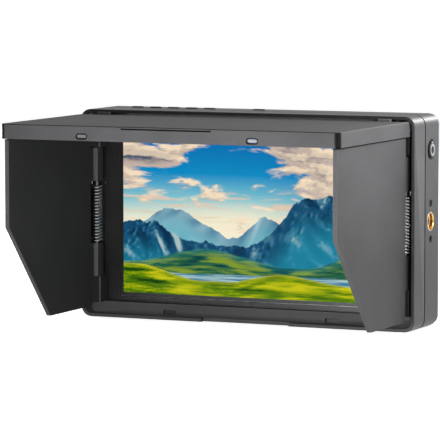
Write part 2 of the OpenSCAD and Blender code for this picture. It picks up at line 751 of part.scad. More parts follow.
module lid_cover() {
    arm_low = lid_hinge_z - lid_barrel_r + 0.5;
    arm_high = lid_hinge_z + lid_barrel_r;
    color([0.22, 0.22, 0.23]) difference() {
        union() {
            difference() {
                translate([0, 0, lip_bottom]) linear_extrude(lip_h)
                    polygon(lid_plan(lid_half, -hood_reach, lid_corner_r));
                translate([0, 0, lip_bottom - 1]) linear_extrude(lip_h - lid_t + 1)
                    polygon(lid_plan(lid_half - lip_t, -hood_reach + lip_t, lid_corner_r - lip_t));
                slab(-lid_half + lip_t, lid_half - lip_t, plate_rear_d, 1, lip_bottom - 1, lid_top + 1);
                side_prism([[lip_rear_d, lid_hinge_z], [lip_rear_d + 1, lid_hinge_z],
                    [lip_rear_d + 1, lid_top + 1], [lip_rear_d - lip_slant, lid_top + 1],
                    [lip_rear_d - lip_slant, lid_top]], -lid_half - 1, lid_half + 1);
            }
            for (s = [-1, 1]) {
                side_prism([
                    [plate_rear_d - 4, lid_top - lid_t], [plate_rear_d - 1.5, arm_low],
                    [lid_hinge_d, arm_low], [lid_hinge_d, arm_high], [-1.3, arm_high],
                    [plate_rear_d, lid_top - eps], [plate_rear_d - 4, lid_top - eps]],
                    s * tab_x - tab_w / 2, s * tab_x + tab_w / 2);
                along_x(lid_barrel_r, s * tab_x - tab_w / 2, s * tab_x + tab_w / 2,
                    lid_hinge_d, lid_hinge_z);
            }
        }
        for (s = [-1, 1]) {
            along_x(lid_pin_r + run, s * tab_x - tab_w, s * tab_x + tab_w, lid_hinge_d, lid_hinge_z);
            front_prism(slot_shape(window_w, window_h), -hood_reach - 1, -hood_reach + window_rim,
                s * magnet_x, lid_top - window_drop);
            front_prism(slot_shape(window_w - 2 * window_rim, window_h - 2 * window_rim),
                -hood_reach, -hood_reach + lip_t + 1, s * magnet_x, lid_top - window_drop);
        }
        slab(-lid_notch_half, lid_notch_half, -hood_reach - 1, -hood_reach + lid_notch_depth,
            lid_top - lid_t, lid_top + 1);
        slab(-lid_notch_half, lid_notch_half, -hood_reach - 1, -hood_reach + lid_notch_depth + lip_t,
            lid_top - lid_t, lid_top - lid_t + lid_slit);
    }
}

module lid_magnets() {
    color([0.8, 0.8, 0.8]) for (s = [-1, 1])
        front_prism(slot_shape(window_w - 2 * (window_rim + fit), window_h - 2 * (window_rim + fit)),
            -hood_reach + window_rim, -hood_reach + lip_t, s * magnet_x, lid_top - window_drop);
}

module frame_magnets() {
    color([0.8, 0.8, 0.8]) slabs(magnet_x - slot_w / 2 + fit, magnet_x + slot_w / 2 - fit,
        ledge_d + 1, ledge_d + slot_depth, rim_wall + fit, rim_wall + slot_h - fit);
}

// A flap on the right side, with its hinge at the given depth
module flap(pin_d) {
    color([0.14, 0.14, 0.15]) difference() {
        union() {
            side_prism([
                [flap_rear_d, flap_bottom], [-flap_knee_d, flap_bottom],
                [flap_front_d, flap_knee_z], [flap_front_d, flap_top], [flap_rear_d, flap_top]],
                flap_x, flap_x + flap_t);
            for (z = [barrel_1, barrel_2]) {
                slab(flap_x, flap_x + flap_t, flap_rear_d - eps, pin_d, z, z + barrel_len);
                along_z(barrel_r, hinge_x, pin_d, z, z + barrel_len);
            }
        }
        along_z(pin_r + run, hinge_x, pin_d, block_top - 1, block_low + 1);
    }
}

module flap_pin(s, pin_d) {
    color([0.75, 0.75, 0.77]) along_z(pin_r, s * hinge_x, pin_d, pin_low + eps, pin_high - eps);
}

// Path of one flap spring about its own axis: a leg from the pocket's floor,
// the curls, and a bend up into the barrel's end
steps = 8;
bend_r = 0.6;
function spring_path(leg, high) = let (
    rise = curls * curl_pitch,
    start = high - rise - bend_r - wire,
    end_z = start + rise)
    concat(
        [[spring_r, leg, start], [spring_r, leg - wire, start], [spring_r, wire, start]],
        [for (i = [0:curls * steps]) let (a = 360 * i / steps)
            [spring_r * cos(a), -spring_r * sin(a), start + curl_pitch * i / steps]],
        [for (a = [30, 60, 90]) [spring_r, -bend_r * sin(a), end_z + bend_r * (1 - cos(a))]],
        [[spring_r, -bend_r, high]]);

function unit(v) = v / norm(v);
function heading(p, i) = unit(p[min(i + 1, len(p) - 1)] - p[max(i - 1, 0)]);
function tube_points(p, r, sides) = [for (i = [0:len(p) - 1]) let (
    t = heading(p, i),
    out = [p[i][0], p[i][1], 0],
    n = unit(out - (out * t) * t),
    b = cross(t, n)) for (k = [0:sides - 1]) p[i] + r * (cos(360 * k / sides) * n
        + sin(360 * k / sides) * b)];
function tube_faces(count, sides) = concat(
    [for (k = [1:sides - 2]) [0, k, k + 1]],
    [for (k = [1:sides - 2]) let (o = (count - 1) * sides) [o, o + k + 1, o + k]],
    [for (i = [0:count - 2], k = [0:sides - 1]) let (
        a = i * sides + k, b = i * sides + (k + 1) % sides) [a, a + sides, b]],
    [for (i = [0:count - 2], k = [0:sides - 1]) let (
        a = i * sides + k, b = i * sides + (k + 1) % sides) [b, a + sides, b + sides]]);
function least_gap(p) = min([for (i = [0:len(p) - 7]) for (j = [i + 6:len(p) - 1])
    norm(p[i] - p[j])]) - wire;

module flap_spring(pin_d) {
    path = spring_path(glass_d - gap - pin_d, barrel_2 - gap);
    echo("least gap of a spring to itself", least_gap(path));
    color([0.7, 0.7, 0.72]) translate([hinge_x, yd(pin_d), 0])
        polyhedron(tube_points(path, wire / 2, 6), tube_faces(len(path), 6), convexity = 20);
}

module lid_pins() {
    reach = tab_w / 2 + gap + lug_t;
    color([0.75, 0.75, 0.77]) for (s = [-1, 1])
        along_x(lid_pin_r, s * tab_x - reach + eps, s * tab_x + reach - eps, lid_hinge_d, lid_hinge_z);
}

module housing_screws() {
    color([0.12, 0.12, 0.12]) at_housing_screws() screw(body_d - head_h - head_sink, screw_tip_d + 0.4);
}

module board_screws() {
    color([0.7, 0.7, 0.7]) at_board_screws() screw(parts_d, tray_d + 0.8);
}

module plate_screws() {
    color([0.7, 0.7, 0.7]) at_plate_screws() screw(recess_d + plate_t, recess_d - wall + 0.2);
}

front_frame();
seam_gasket();
rear_housing();
cover_glass();
display_panel();
backlight_unit();
display_tray();
display_ribbon();
main_board();
heatsink();
video_socket(video_in_z);  // video_in_socket
video_socket(video_out_z);  // video_out_socket
dc_jack();
headphone_jack();
service_port();
key_board();
key_mat();
top_key(0);  // top_key_1
top_key(1);  // top_key_2
top_key(2);  // top_key_3
top_key(3);  // top_key_4
top_key(4);  // top_key_5
top_key(5);  // top_key_6
power_button();
power_ring();
power_switch();
insert_x(1);  // insert_right
insert_x(-1);  // insert_left
insert_bottom();
battery_plate();
battery_contacts();
battery_release();
lid_cover();
lid_magnets();
frame_magnets();
mirror([1, 0, 0]) flap(left_hinge_d);  // left_flap
flap(right_hinge_d);  // right_flap
flap_pin(-1, left_hinge_d);  // left_flap_pin
flap_pin(1, right_hinge_d);  // right_flap_pin
mirror([1, 0, 0]) flap_spring(left_hinge_d);  // left_flap_spring
flap_spring(right_hinge_d);  // right_flap_spring
lid_pins();
housing_screws();
board_screws();
plate_screws();
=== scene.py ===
"""Field monitor with a folding sun hood: the finish of its casing, hood, screen and fittings."""

import math

import bmesh
import bpy
from mathutils import Matrix, Vector


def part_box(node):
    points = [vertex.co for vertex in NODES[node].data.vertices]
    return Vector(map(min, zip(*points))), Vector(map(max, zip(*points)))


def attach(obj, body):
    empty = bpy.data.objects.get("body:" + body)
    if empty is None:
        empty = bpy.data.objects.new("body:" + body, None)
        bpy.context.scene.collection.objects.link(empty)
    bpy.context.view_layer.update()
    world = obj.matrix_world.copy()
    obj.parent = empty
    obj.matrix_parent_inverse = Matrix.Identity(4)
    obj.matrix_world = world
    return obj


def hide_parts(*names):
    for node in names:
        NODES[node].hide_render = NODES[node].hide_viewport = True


bl_info = {
    "name": "Field Monitor with Sun Hood",
    "version": (1, 0, 0),
    "blender": (4, 5, 0),
    "location": "View3D > Sidebar > Field Monitor",
    "description": "Dresses the packed field monitor with its finishes, screen picture and fine parts",
    "category": "Add Mesh",
}

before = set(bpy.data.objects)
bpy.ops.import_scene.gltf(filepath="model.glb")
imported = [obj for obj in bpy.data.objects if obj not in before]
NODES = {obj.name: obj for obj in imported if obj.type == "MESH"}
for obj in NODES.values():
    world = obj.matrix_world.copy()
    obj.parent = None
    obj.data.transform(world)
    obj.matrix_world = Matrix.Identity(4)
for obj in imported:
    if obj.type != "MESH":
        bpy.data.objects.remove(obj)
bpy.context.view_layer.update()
MM = 0.001

# Places that several pieces share, in metres
CASING_LOW, CASING_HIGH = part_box("rear_housing")
FRAME_LOW, FRAME_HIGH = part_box("front_frame")
GLASS_LOW, GLASS_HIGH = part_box("cover_glass")
PANEL_LOW, PANEL_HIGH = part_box("display_panel")
HALF_WIDTH = CASING_HIGH.x
MIDDLE_Z = (CASING_LOW.z + CASING_HIGH.z) / 2
# How near to a plane or to each other points count as on it, and which bends are edges or smooth
SLACK = 0.02 * MM
SHARP_ANGLE, SMOOTH_ANGLE = math.radians(28), math.radians(38)
# How brightly the unlit floor shows to the camera, so that only the object's shadow darkens it
FLOOR_GLOW = 0.82


def bare(value):
    """A bpy.props vector as a plain tuple."""
    return tuple(float(v) for v in value)


class Recipe:
    """One material's node tree, filled by short calls."""

    def __init__(self, name):
        self.material = bpy.data.materials.new(name)
        self.material.use_nodes = True
        self.tree = self.material.node_tree
        self.shader = self.tree.nodes["Principled BSDF"]
        self.place = self.add("ShaderNodeTexCoord").outputs["Object"]

    def add(self, kind, **settings):
        node = self.tree.nodes.new(kind)
        for key, value in settings.items():
            setattr(node, key, value)
        return node

    def feed(self, socket, value):
        """Links an output to a socket, or writes a plain value on it."""
        if isinstance(value, bpy.types.NodeSocket):
            self.tree.links.new(value, socket)
        else:
            socket.default_value = value

    def set(self, **values):
        """Sets the main shader's sockets, named in lower case with underscores."""
        for key, value in values.items():
            self.feed(self.shader.inputs[key.replace("_", " ").title().replace("Ior", "IOR")], value)

    def math(self, operation, first, second=0.0, third=0.0):
        node = self.add("ShaderNodeMath", operation=operation)
        for socket, value in zip(node.inputs, (first, second, third)):
            self.feed(socket, value)
        return node.outputs[0]

    def mix(self, share, first, second):
        node = self.add("ShaderNodeMix", data_type="RGBA")
        self.feed(node.inputs[0], share)
        self.feed(node.inputs[6], first)
        self.feed(node.inputs[7], second)
        return node.outputs[2]

    def noise(self, scale, detail=2.0, rough=0.5, place=None, warp=0.0, kind="FBM"):
        node = self.add("ShaderNodeTexNoise", noise_type=kind)
        self.feed(node.inputs["Vector"], place or self.place)
        node.inputs["Scale"].default_value = scale
        node.inputs["Detail"].default_value = detail
        node.inputs["Roughness"].default_value = rough
        node.inputs["Distortion"].default_value = warp
        return node.outputs["Fac"]

    def step(self, value, low, high, start=0.0, end=1.0):
        """Maps low..high smoothly to start..end."""
        node = self.add("ShaderNodeMapRange", interpolation_type="SMOOTHSTEP")
        for socket, number in zip(node.inputs, (value, low, high, start, end)):
            self.feed(socket, number)
        return node.outputs[0]

    def ramp(self, value, *stops):
        """A colour ramp with (place, colour) stops."""
        node = self.add("ShaderNodeValToRGB")
        self.feed(node.inputs[0], value)
        points = node.color_ramp.elements
        while len(points) < len(stops):
            points.new(1.0)
        for point, (place, colour) in zip(points, stops):
            point.position = place
            point.color = (*colour, 1.0)
        return node.outputs[0]

    def bump(self, height, depth):
        node = self.add("ShaderNodeBump")
        node.inputs["Strength"].default_value = 1.0
        node.inputs["Distance"].default_value = depth
        self.feed(node.inputs["Height"], height)
        return node.outputs[0]

    def edges(self, width):
        """1 at convex and concave edges, 0 on flat faces."""
        eased = self.add("ShaderNodeBevel", samples=4)
        eased.inputs["Radius"].default_value = width
        plain = self.add("ShaderNodeNewGeometry")
        dot = self.add("ShaderNodeVectorMath", operation="DOT_PRODUCT")
        self.feed(dot.inputs[0], eased.outputs[0])
        self.feed(dot.inputs[1], plain.outputs["Normal"])
        return self.step(dot.outputs["Value"], 0.99, 0.85)

    def axes(self):
        node = self.add("ShaderNodeSeparateXYZ")
        self.feed(node.inputs[0], self.place)
        return node.outputs[0], node.outputs[1], node.outputs[2]

    def vector(self, x, y, z):
        node = self.add("ShaderNodeCombineXYZ")
        for socket, value in zip(node.inputs, (x, y, z)):
            self.feed(socket, value)
        return node.outputs[0]


def srgb(red, green, blue):
    """A display colour, 0 to 255, as the linear colour that shaders read."""
    def linear(value):
        share = value / 255
        return share / 12.92 if share <= 0.04045 else ((share + 0.055) / 1.055) ** 2.4
    return (linear(red), linear(green), linear(blue))


def shaded(colour, factor):
    return tuple(min(1.0, c * factor) for c in colour)


def moulded(name, colour, rough, grain, depth, worn=0.35, specular=0.12):
    """Moulded plastic with a fine eroded grain, faint cloudiness and polished edges."""
    r = Recipe(name)
    cloud = r.noise(45.0, 3.0, 0.6)
    speckle = r.noise(1.0 / grain, 2.0, 0.6)
    fine = r.noise(2.3 / grain, 1.0, 0.5)
    tone = r.mix(r.step(cloud, 0.3, 0.7), (*shaded(colour, 0.88), 1), (*shaded(colour, 1.12), 1))
    tone = r.mix(r.step(speckle, 0.35, 0.75, 0.0, 0.35), tone, (*shaded(colour, 1.6), 1))
    edge = r.edges(0.35 * MM)
    tone = r.mix(r.math("MULTIPLY", edge, worn), tone, (*shaded(colour, 2.4), 1))
    level = r.math("MULTIPLY_ADD", cloud, 0.10, rough - 0.05)
    level = r.math("SUBTRACT", level, r.math("MULTIPLY", edge, 0.08))
    height = r.math("MULTIPLY_ADD", fine, 0.4, speckle)
    r.set(base_color=tone, roughness=level, specular_ior_level=specular,
          normal=r.bump(height, depth))
    return r.material


def lining(name, colour):
    """Dead matt paint with a velvety sheen at grazing angles: on the inside of the hood it is partly
    painted shade, in the hinge pockets wholly painted shade.
    """
    r = Recipe(name)
    cloud = r.noise(30.0, 4.0, 0.6)
    nap = r.noise(5200.0, 2.0, 0.7)
    tone = r.mix(r.step(cloud, 0.3, 0.7), (*shaded(colour, 0.85), 1), (*shaded(colour, 1.15), 1))
    r.set(base_color=tone, roughness=r.math("MULTIPLY_ADD", nap, 0.08, 0.84),
          specular_ior_level=0.12, sheen_weight=0.02, sheen_roughness=0.5,
          normal=r.bump(nap, 0.03 * MM))
    return r.material


def rubbery(name, colour):
    """Soft rubber with a dry bloom."""
    r = Recipe(name)
    bloom = r.noise(220.0, 4.0, 0.6)
    tone = r.mix(r.step(bloom, 0.35, 0.8), (*colour, 1), (*shaded(colour, 2.0), 1))
    r.set(base_color=tone, roughness=r.math("MULTIPLY_ADD", bloom, 0.15, 0.62),
          specular_ior_level=0.3, normal=r.bump(r.noise(3000.0), 0.01 * MM))
    return r.material


def metal(name, colour, rough, axis="x", lines=2600.0, depth=0.004):
    """Metal with fine tool marks across one axis and slight staining."""
    r = Recipe(name)
    x, y, z = r.axes()
    squeeze = {"x": (1.0, 0.03, 0.03), "y": (0.03, 1.0, 0.03), "z": (0.03, 0.03, 1.0)}[axis]
    place = r.vector(*(r.math("MULTIPLY", v, s) for v, s in zip((x, y, z), squeeze)))
    marks = r.noise(lines, 2.0, 0.6, place)
    spots = r.noise(300.0, 4.0, 0.6)
    tone = r.mix(r.step(spots, 0.4, 0.8, 0.0, 0.15), (*colour, 1), (*shaded(colour, 0.55), 1))
    tone = r.mix(r.math("MULTIPLY", marks, 0.25), tone, (*shaded(colour, 1.25), 1))
    level = r.math("MULTIPLY_ADD", spots, 0.14, rough - 0.07)
    r.set(base_color=tone, metallic=1.0, roughness=level, normal=r.bump(marks, depth * MM))
    return r.material


def board_paint(name):
    """Green solder mask with faint copper tracks under it."""
    r = Recipe(name)
    tracks = r.add("ShaderNodeTexBrick", offset=0.5, squash=1.0)
    x, _, z = r.axes()
    r.feed(tracks.inputs["Vector"], r.vector(x, z, 0.0))
    tracks.inputs["Scale"].default_value = 160.0
    tracks.inputs["Mortar Size"].default_value = 0.06
    tracks.inputs["Color1"].default_value = (0.012, 0.10, 0.045, 1)
    tracks.inputs["Color2"].default_value = (0.016, 0.12, 0.055, 1)
    tracks.inputs["Mortar"].default_value = (0.03, 0.22, 0.09, 1)
    haze = r.noise(90.0, 3.0)
    tone = r.mix(r.math("MULTIPLY", haze, 0.3), tracks.outputs["Color"], (0.01, 0.06, 0.03, 1))
    r.set(base_color=tone, roughness=r.math("MULTIPLY_ADD", haze, 0.1, 0.3),
          normal=r.bump(tracks.outputs["Fac"], 0.03 * MM))
    return r.material


def film(name, colour):
    """Thin polymer film with faint conductor lines."""
    r = Recipe(name)
    x, _, _ = r.axes()
    line = r.math("PINGPONG", x, 0.5 * MM)
    share = r.step(line, 0.1 * MM, 0.3 * MM)
    tone = r.mix(share, (*colour, 1), (*shaded(colour, 1.5), 1))
    tone = r.mix(r.step(r.noise(120.0, 3.0), 0.3, 0.8, 0.0, 0.3), tone, (*shaded(colour, 0.6), 1))
    r.set(base_color=tone, roughness=r.math("MULTIPLY_ADD", r.noise(400.0), 0.1, 0.3))
    return r.material


def frosted(name, colour):
    """White diffuser sheet."""
    r = Recipe(name)
    haze = r.noise(500.0, 3.0, 0.6)
    tone = r.mix(haze, (*shaded(colour, 0.93), 1), (*colour, 1))
    r.set(base_color=tone, roughness=r.math("MULTIPLY_ADD", haze, 0.2, 0.5),
          normal=r.bump(r.noise(2500.0), 0.01 * MM))
    return r.material


def cover_glass_finish(name):
    """Coated cover glass: clear from the front, with a sheen at grazing angles and faint smears."""
    r = Recipe(name)
    smear = r.noise(35.0, 4.0, 0.6)
    facing = r.add("ShaderNodeLayerWeight")
    facing.inputs["Blend"].default_value = 0.5
    r.set(base_color=(0.01, 0.011, 0.012, 1), ior=1.45,
          roughness=r.math("MULTIPLY_ADD", r.step(smear, 0.45, 0.8), 0.03, 0.02),
          alpha=r.step(facing.outputs["Facing"], 0.55, 1.0, 0.04, 0.7))
    return r.material


def printed_border(name):
    """Black ink under the glass."""
    r = Recipe(name)
    haze = r.noise(60.0, 3.0)
    tone = r.mix(haze, (0.006, 0.006, 0.0062, 1), (0.010, 0.010, 0.0103, 1))
    r.set(base_color=tone, roughness=r.math("MULTIPLY_ADD", haze, 0.1, 0.3), specular_ior_level=0.5)
    return r.material


def seen_rays(tree):
    """1 for rays from the camera and for mirrored or refracted ones, 0 for light on matt surfaces."""
    path = tree.nodes.new("ShaderNodeLightPath")
    value = path.outputs["Is Camera Ray"]
    for other in ("Is Glossy Ray", "Is Transmission Ray"):
        node = tree.nodes.new("ShaderNodeMath")
        node.operation = "MAXIMUM"
        tree.links.new(value, node.inputs[0])
        tree.links.new(path.outputs[other], node.inputs[1])
        value = node.outputs[0]
    return value


class PictureSizes(bpy.types.PropertyGroup):
    """The picture on the screen."""

    width: bpy.props.FloatProperty(
        name="Width", description="Width of the lit picture", default=121.8 * MM, unit="LENGTH")
    height: bpy.props.FloatProperty(
        name="Height", description="Height of the lit picture", default=68.5 * MM, unit="LENGTH")
    glow: bpy.props.FloatProperty(
        name="Glow", description="Brightness of the picture, where 1 shows its colours as written",
        default=1.0, min=0.0, max=3.0)
    zenith: bpy.props.FloatVectorProperty(
        name="Zenith", description="Sky at the top of the picture", subtype="COLOR",
        default=srgb(0, 104, 178), size=3, min=0.0, max=1.0)
    horizon: bpy.props.FloatVectorProperty(
        name="Horizon", description="Sky just over the mountains", subtype="COLOR",
        default=srgb(255, 246, 222), size=3, min=0.0, max=1.0)
    cloud: bpy.props.FloatVectorProperty(
        name="Cloud", description="Sunlit side of the clouds", subtype="COLOR",
        default=srgb(255, 232, 200), size=3, min=0.0, max=1.0)
    ridge: bpy.props.FloatVectorProperty(
        name="Ridge", description="Nearest mountains", subtype="COLOR",
        default=srgb(24, 84, 122), size=3, min=0.0, max=1.0)
    meadow: bpy.props.FloatVectorProperty(
        name="Meadow", description="Meadow in the sun", subtype="COLOR",
        default=srgb(206, 204, 20), size=3, min=0.0, max=1.0)


def landscape(picture):
    """A made-up valley: clouds, two mountain ranges, a lake and a meadow, drawn from noise."""
    r = Recipe("valley_picture")
    x, _, z = r.axes()
    across = r.math("MULTIPLY_ADD", x, 1 / picture.width, 0.5)
    up = r.math("MULTIPLY_ADD", z, 1 / picture.height, 0.5 - MIDDLE_Z / picture.height)

    def plane(stretch_x, stretch_y, shift=0.0):
        return r.vector(r.math("MULTIPLY", across, stretch_x), r.math("MULTIPLY", up, stretch_y), shift)

    def ridge_line(base, swell, shift, crag, peak=None):
        """Height of a mountain range over the width of the picture."""
        line = r.vector(across, shift, shift)
        soft = r.math("MULTIPLY_ADD", r.noise(3.2, 1.0, 0.5, line), swell, base - swell / 2)
        rough = r.math("MULTIPLY_ADD", r.noise(14.0, 6.0, 0.62, line), crag, -crag / 2)
        height = r.math("ADD", soft, rough)
        for place, rise, reach in peak or ():
            away = r.math("ABSOLUTE", r.math("SUBTRACT", across, place))
            height = r.math("ADD", height, r.math("MULTIPLY", rise, r.step(away, reach, 0.0)))
        return height

    def over(below, height, paint, soft=0.006):
        """Lays paint over what is below, under the line of the given height."""
        depth = r.math("SUBTRACT", height, up)
        return r.mix(r.step(depth, 0.0, soft), below, paint), depth

    def rim(depth, width, strength):
        """A band just under a skyline."""
        inside = r.math("MULTIPLY", r.step(depth, width, 0.0), r.step(depth, 0.0, 0.004))
        return r.math("MULTIPLY", inside, strength)

    def crests(scale, place, shift, lean):
        """Light and shade on ridges: the slope of a ridged noise towards the light."""
        near_side, far_side = (r.noise(scale, 6.0, 0.58, r.vector(
            r.math("ADD", place[0], lean * side), place[1], shift), 0.0, "RIDGED_MULTIFRACTAL")
            for side in (-0.5, 0.5))
        return r.math("SUBTRACT", near_side, far_side)

    sky = r.ramp(up, (0.38, bare(picture.horizon)), (0.47, srgb(238, 240, 214)),
                 (0.60, srgb(124, 200, 214)), (0.76, srgb(10, 142, 200)), (1.0, bare(picture.zenith)))
    sky = r.mix(r.step(across, 0.45, 1.0, 0.0, 0.55), sky, (*srgb(0, 96, 166), 1))
    off_sun = r.math("ABSOLUTE", r.math("SUBTRACT", across, 0.42))
    glow_spot = r.math("MULTIPLY", r.step(off_sun, 0.42, 0.0), r.step(up, 0.66, 0.42))
    sky = r.mix(r.math("MULTIPLY", glow_spot, 0.75), sky, (*srgb(255, 244, 214), 1))

    def cloud_density(rise, slide):
        place = r.vector(r.math("MULTIPLY", r.math("ADD", across, slide), 3.1),
                         r.math("MULTIPLY", r.math("ADD", up, rise), 5.4), 4.7)
        return r.noise(1.0, 9.0, 0.60, place, 0.35)

    body = cloud_density(0.0, 0.0)
    above = cloud_density(0.03, 0.012)
    band = r.math("MULTIPLY", r.step(up, 0.50, 0.70), r.step(up, 1.04, 0.86))
    side = r.math("ADD", r.step(across, 0.30, 0.0, 0.25, 1.0), r.step(across, 0.45, 0.80))
    filled = r.math("ADD", body, r.math("MULTIPLY", r.math("MULTIPLY", band, side), 0.13))
    cover = r.step(filled, 0.56, 0.625)
    glow = r.step(r.math("SUBTRACT", body, above), -0.035, 0.045)
    deep = r.step(filled, 0.62, 0.76)
    shadow = r.mix(deep, (*srgb(206, 186, 172), 1), (*srgb(66, 84, 110), 1))
    cloud = r.mix(glow, shadow, (*bare(picture.cloud), 1))
    heavy = r.math("MULTIPLY", r.math("MULTIPLY", glow, deep), 0.45)
    cloud = r.mix(heavy, cloud, (*srgb(150, 142, 146), 1))
    view = r.mix(cover, sky, cloud)

    veil = r.noise(2.4, 7.0, 0.62, plane(2.2, 10.0, 9.1), 0.2)
    streak = r.math("MULTIPLY", r.step(veil, 0.50, 0.64), r.math(
        "MULTIPLY", r.step(up, 0.42, 0.50), r.step(up, 0.70, 0.58)))
    view = r.mix(r.math("MULTIPLY", streak, 0.85), view, (*srgb(236, 206, 178), 1))

    far = ridge_line(0.40, 0.10, 2.3, 0.12, ((0.20, 0.13, 0.20), (0.55, 0.10, 0.13)))
    below = r.math("SUBTRACT", far, up)
    light = crests(5.0, (r.math("MULTIPLY_ADD", across, 2.4, r.math("MULTIPLY", below, 0.9)),
                         r.math("MULTIPLY", below, 1.1)), 3.3, 0.05)
    far_paint = r.mix(r.step(light, -0.25, 0.3), (*srgb(40, 112, 152), 1), (*srgb(168, 206, 214), 1))
    view, depth = over(view, far, far_paint, 0.004)
    view = r.mix(r.math("MULTIPLY", r.step(depth, 0.0, 0.16), 0.75), view, (*srgb(120, 196, 208), 1))

    near = ridge_line(0.32, 0.10, 7.9, 0.14,
                      ((0.78, 0.34, 0.30), (0.66, 0.06, 0.10), (0.05, 0.14, 0.22)))
    below = r.math("SUBTRACT", near, up)
    light = crests(4.2, (r.math("MULTIPLY_ADD", across, 3.2, r.math("MULTIPLY", below, -1.2)),
                         r.math("MULTIPLY", below, 1.4)), 5.1, 0.07)
    fine = crests(15.0, (r.math("MULTIPLY", across, 3.0), r.math("MULTIPLY", below, 2.4)), 1.7, 0.03)
    faces = r.step(r.math("MULTIPLY_ADD", fine, 0.35, light), -0.32, 0.42)
    near_paint = r.ramp(faces, (0.12, srgb(12, 52, 84)), (0.45, bare(picture.ridge)),
                        (0.68, srgb(70, 128, 152)), (0.92, srgb(176, 198, 196)))
    view, depth = over(view, near, near_paint, 0.004)
    haze = r.math("MULTIPLY", r.step(depth, 0.05, 0.34), 0.72)
    view = r.mix(haze, view, (*srgb(30, 146, 176), 1))

    def hills(line, shift, scale, dark, middle, bright, soft):
        """Grassy ground with sunlit and shaded folds that flatten towards its edge."""
        down = r.math("SUBTRACT", line, up)
        folds = crests(scale, (r.math("MULTIPLY_ADD", across, 1.6, r.math("MULTIPLY", down, 2.2)),
                               r.math("MULTIPLY", down, 6.0)), shift, 0.10)
        patches = r.noise(3.4, 5.0, 0.6, plane(1.7, 9.0, shift))
        tufts = r.noise(60.0, 3.0, 0.6, plane(1.8, 3.2, shift))
        shade = r.math("MULTIPLY_ADD", folds, 0.45, r.math("MULTIPLY_ADD", tufts, 0.32, patches))
        paint = r.ramp(shade, (0.46, dark), (0.62, middle), (0.80, bright))
        return over(view, line, paint, soft)

    foot = ridge_line(0.195, 0.05, 5.2, 0.025, ((0.32, 0.10, 0.30), (0.98, 0.14, 0.30)))
    view, depth = hills(foot, 8.8, 4.0, srgb(8, 58, 66), srgb(38, 104, 70), srgb(132, 158, 48), 0.012)
    view = r.mix(rim(depth, 0.06, 0.25), view, (*srgb(40, 150, 170), 1))

    shore = ridge_line(0.138, 0.03, 6.4, 0.006)
    ripple = r.noise(4.0, 5.0, 0.6, plane(1.6, 30.0, 1.2))
    water = r.mix(r.step(ripple, 0.35, 0.7), (*srgb(16, 112, 154), 1), (*srgb(190, 222, 216), 1))
    view, depth = over(view, shore, water, 0.01)

    bank = ridge_line(0.092, 0.05, 3.6, 0.014, ((0.02, 0.09, 0.30), (0.62, 0.05, 0.22)))
    view, depth = hills(bank, 2.2, 3.0, srgb(20, 64, 14), srgb(96, 138, 10), bare(picture.meadow),
                        0.008)
    view = r.mix(rim(depth, 0.03, 0.35), view, (*srgb(236, 222, 60), 1))

    r.set(base_color=(0.0, 0.0, 0.0, 1), roughness=0.6, specular_ior_level=0.0,
          emission_color=view, emission_strength=picture.glow)
    return r.material


def merged(node):
    """A CAD node's shape with its loose triangles joined into flat faces."""
    bm = bmesh.new()
    bm.from_mesh(NODES[node].data)
    bmesh.ops.remove_doubles(bm, verts=bm.verts, dist=0.002 * MM)
    bmesh.ops.dissolve_limit(bm, angle_limit=math.radians(0.8), verts=bm.verts, edges=bm.edges)
    return bm


def sharp_edges(bm):
    """Edges where two faces meet at an angle that shows."""
    return [e for e in bm.edges if len(e.link_faces) == 2 and e.calc_face_angle(0.0) > SHARP_ANGLE]


def ease(bm, edges, radius, segments=2):
    bmesh.ops.bevel(bm, geom=edges, offset=radius, offset_type="OFFSET", segments=segments,
                    profile=0.5, affect="EDGES", clamp_overlap=False, material=-1,
                    loop_slide=True)


def on_plane(edge, axis, place):
    return all(abs(v.co[axis] - place) < SLACK for v in edge.verts)


def ease_on(bm, axis, place, radius, segments=2, among=None):
    """Eases the sharp edges that lie on one plane, or those of them that a test picks."""
    ease(bm, [e for e in sharp_edges(bm) if on_plane(e, axis, place) and (among is None or among(e))],
         radius, segments)


def finish_piece(name, bm, body, materials, nodes=()):
    """Writes the mesh, smooths it up to an angle, gives it its materials and ties the piece to its
    body.
    """
    mesh = bpy.data.meshes.new(name)
    bm.to_mesh(mesh)
    bm.free()
    for face in mesh.polygons:
        face.use_smooth = True
    mesh.set_sharp_from_angle(angle=SMOOTH_ANGLE)
    for material in materials:
        mesh.materials.append(material)
    piece = bpy.data.objects.new(name, mesh)
    bpy.context.scene.collection.objects.link(piece)
    weights = piece.modifiers.new("even_shading", "WEIGHTED_NORMAL")
    weights.keep_sharp = True
    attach(piece, body)
    if nodes:
        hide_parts(*nodes)
    return piece


def paint(nodes, material):
    """Gives CAD nodes that keep their own shape their finish."""
    for name in nodes:
        NODES[name].data.materials.clear()
        NODES[name].data.materials.append(material)


def turned(profile, centre, axis, sides=64):
    """A turned part: (radius, height) points in mm, spun round the axis. A profile that starts on
    the axis ends on it, and any other is closed."""
    bm = bmesh.new()
    across = Vector(axis).orthogonal().normalized()
    points = [bm.verts.new(Vector(centre) + across * radius * MM + Vector(axis) * height * MM)
              for radius, height in profile]
    ends = points[1:] if profile[0][0] == 0 else points[1:] + points[:1]
    edges = [bm.edges.new(pair) for pair in zip(points, ends)]
    bmesh.ops.spin(bm, geom=points + edges, cent=centre, axis=axis, angle=math.tau, steps=sides,
                   use_merge=True)
    bmesh.ops.remove_doubles(bm, verts=bm.verts, dist=0.002 * MM)
    bmesh.ops.recalc_face_normals(bm, faces=bm.faces)
    return bm


